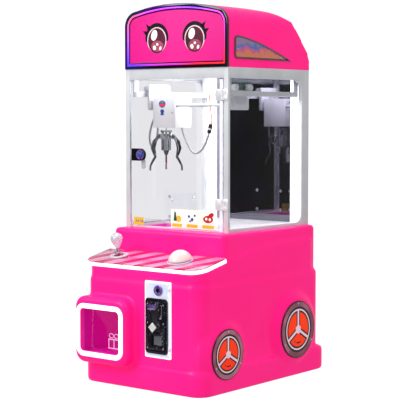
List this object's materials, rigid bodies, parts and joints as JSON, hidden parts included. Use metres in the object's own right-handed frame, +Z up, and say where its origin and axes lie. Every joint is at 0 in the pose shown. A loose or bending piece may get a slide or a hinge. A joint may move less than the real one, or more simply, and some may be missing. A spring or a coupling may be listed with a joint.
{
  "type": "claw crane machine",
  "caption": "Small coin-operated claw crane machine with a car-shaped moulded base, glazed cabinet, moving bridge, trolley, winch and claw, and an arched light-up sign.",
  "frame": {"origin": "centre of the bounding box on the floor", "axes": "+Z up, the controls and door face -Y, +X is to the right of someone who faces the controls"},
  "size_m": [0.447, 0.619, 1.034],
  "materials": {
    "shell_pink": "gloss",
    "shell_trim": "gloss",
    "white_metal": "satin",
    "white_plastic": "satin",
    "light_diffuser": "satin",
    "clear_acrylic": "polished",
    "pink_acrylic": "polished",
    "mirror": "polished",
    "printed_panel": "gloss",
    "sign_panel": "gloss",
    "sign_frame": "satin",
    "sign_light": "satin",
    "wheel_print": "gloss",
    "black_plastic": "satin",
    "black_metal": "satin",
    "chrome": "polished",
    "steel": "brushed",
    "zinc": "satin",
    "brass": "satin",
    "rubber": "matte",
    "board": "matte",
    "circuit": "satin",
    "knob_crystal": "polished",
    "cable": "matte"
  },
  "bodies": {
    "cabinet": {"base_shell": "shell_pink", "base_plate": "board", "rubber_feet": "rubber", "wheel_discs": "wheel_print", "deck_panel": "printed_panel", "deck_light_strip": "light_diffuser", "prize_light_ring": "light_diffuser", "prize_chute": "shell_trim", "rear_panel": "white_metal", "fixing_screws": "steel", "coin_box": "zinc", "power_supply": "zinc", "control_board": "circuit", "power_inlet": "black_plastic", "joystick_base": "white_plastic", "button_housing": "white_plastic", "coin_door_frame": "white_metal", "playfield_floor": "white_plastic", "chute_guard": "clear_acrylic", "side_frame_left": "white_metal", "side_frame_right": "white_metal", "side_windows": "clear_acrylic", "back_panel": "white_metal", "back_mirror": "mirror", "light_columns": "light_diffuser", "top_tray": "white_metal", "gantry_rails": "zinc", "door_hinge_posts": "chrome", "roof_shell": "shell_pink", "marquee_panel": "sign_panel", "marquee_trim": "sign_frame", "marquee_light": "sign_light", "fin_windows": "printed_panel"},
    "prize_flap": {"prize_flap": "pink_acrylic"},
    "coin_door": {"coin_door": "white_metal", "coin_acceptor": "black_plastic", "coin_door_lock": "chrome"},
    "coin_cam": {"coin_door_cam": "steel"},
    "reject_lever": {"coin_reject_lever": "chrome"},
    "return_flap": {"coin_return_flap": "steel"},
    "power_rocker": {"power_switch": "black_plastic"},
    "joystick_gimbal": {"joystick_gimbal": "zinc"},
    "joystick": {"joystick_shaft": "chrome", "joystick_knob": "knob_crystal"},
    "push_button": {"button_cap": "light_diffuser"},
    "front_door": {"door_glass": "clear_acrylic", "door_hinge_clamps": "chrome", "door_lock_case": "black_metal"},
    "door_cam": {"door_lock_cam": "steel"},
    "bridge": {"bridge": "steel", "loom_cables": "cable"},
    "trolley": {"trolley_chassis": "black_plastic", "trolley_cover": "white_plastic", "lift_cord": "cable"},
    "spool": {"winch_spool": "brass"},
    "claw": {"claw_body": "chrome"},
    "plunger": {"claw_plunger": "brass"},
    "finger_1": {"claw_finger_1": "chrome"},
    "finger_2": {"claw_finger_2": "chrome"},
    "finger_3": {"claw_finger_3": "chrome"}
  },
  "joints": [
    {"name": "prize_flap_swing", "type": "hinge", "parent": "cabinet", "child": "prize_flap", "pos_m": [-0.112, -0.2877, 0.212], "axis": [1, 0, 0], "range_deg": [0, 70]},
    {"name": "coin_door_swing", "type": "hinge", "parent": "cabinet", "child": "coin_door", "pos_m": [0.1068, -0.275, 0.1985], "axis": [0, 0, 1], "range_deg": [0, 100]},
    {"name": "coin_cam_turn", "type": "hinge", "parent": "coin_door", "child": "coin_cam", "pos_m": [0.068, -0.262, 0.2765], "axis": [0, 1, 0], "range_deg": [0, 90]},
    {"name": "reject_lever_press", "type": "slide", "parent": "coin_door", "child": "reject_lever", "axis": [0, 1, 0], "range_m": [0, 0.004], "stiffness_N_per_m": 400, "springref_m": -0.002},
    {"name": "return_flap_swing", "type": "hinge", "parent": "coin_door", "child": "return_flap", "pos_m": [0.061, -0.274, 0.1565], "axis": [1, 0, 0], "range_deg": [0, 60]},
    {"name": "power_rocker_tilt", "type": "hinge", "parent": "cabinet", "child": "power_rocker", "pos_m": [0.072, 0.289, 0.213], "axis": [1, 0, 0], "range_deg": [-20, 0]},
    {"name": "joystick_fore_aft", "type": "hinge", "parent": "cabinet", "child": "joystick_gimbal", "pos_m": [-0.12302, -0.20974, 0.32647], "axis": [1, 0, 0], "range_deg": [-12, 12], "stiffness_Nm_per_rad": 1.2},
    {"name": "joystick_sideways", "type": "hinge", "parent": "joystick_gimbal", "child": "joystick", "pos_m": [-0.12302, -0.20974, 0.32647], "axis": [0, 0.9781, 0.2079], "range_deg": [-12, 12], "stiffness_Nm_per_rad": 1.2},
    {"name": "push_button_press", "type": "slide", "parent": "cabinet", "child": "push_button", "axis": [0, 0.2079, -0.9781], "range_m": [0, 0.0035], "stiffness_N_per_m": 600, "springref_m": -0.003},
    {"name": "front_door_swing", "type": "hinge", "parent": "cabinet", "child": "front_door", "pos_m": [0.1615, -0.1244, 0.625], "axis": [0, 0, 1], "range_deg": [0, 105]},
    {"name": "door_cam_turn", "type": "hinge", "parent": "front_door", "child": "door_cam", "pos_m": [-0.1235, -0.115, 0.624], "axis": [0, 1, 0], "range_deg": [0, 90]},
    {"name": "bridge_travel", "type": "slide", "parent": "cabinet", "child": "bridge", "axis": [0, 1, 0], "range_m": [0, 0.19]},
    {"name": "trolley_travel", "type": "slide", "parent": "bridge", "child": "trolley", "axis": [1, 0, 0], "range_m": [0, 0.184], "deforming": ["loom_cables"]},
    {"name": "claw_hoist", "type": "slide", "parent": "trolley", "child": "claw", "axis": [0, 0, -1], "range_m": [0, 0.135], "deforming": ["lift_cord"]},
    {"name": "spool_turn", "type": "hinge", "parent": "trolley", "child": "spool", "pos_m": [-0.088, -0.042, 0.738], "axis": [0, -1, 0], "range_deg": [0, 650]},
    {"name": "claw_close", "type": "slide", "parent": "claw", "child": "plunger", "axis": [0, 0, 1], "range_m": [0, 0.005]},
    {"name": "finger_1_swing", "type": "hinge", "parent": "claw", "child": "finger_1", "pos_m": [-0.08227, -0.03887, 0.677], "axis": [-0.1736, 0.9848, 0], "range_deg": [0, 26]},
    {"name": "finger_2_swing", "type": "hinge", "parent": "claw", "child": "finger_2", "pos_m": [-0.11157, -0.02821, 0.677], "axis": [-0.766, -0.6428, 0], "range_deg": [0, 26]},
    {"name": "finger_3_swing", "type": "hinge", "parent": "claw", "child": "finger_3", "pos_m": [-0.10616, -0.05891, 0.677], "axis": [0.9397, -0.342, 0], "range_deg": [0, 26]}
  ],
  "couplings": [
    {"joint": "spool_turn", "follows": "claw_hoist", "rad_per_m": 83.333},
    {"joint": "finger_1_swing", "follows": "claw_close", "rad_per_m": 90},
    {"joint": "finger_2_swing", "follows": "claw_close", "rad_per_m": 90},
    {"joint": "finger_3_swing", "follows": "claw_close", "rad_per_m": 90}
  ]
}
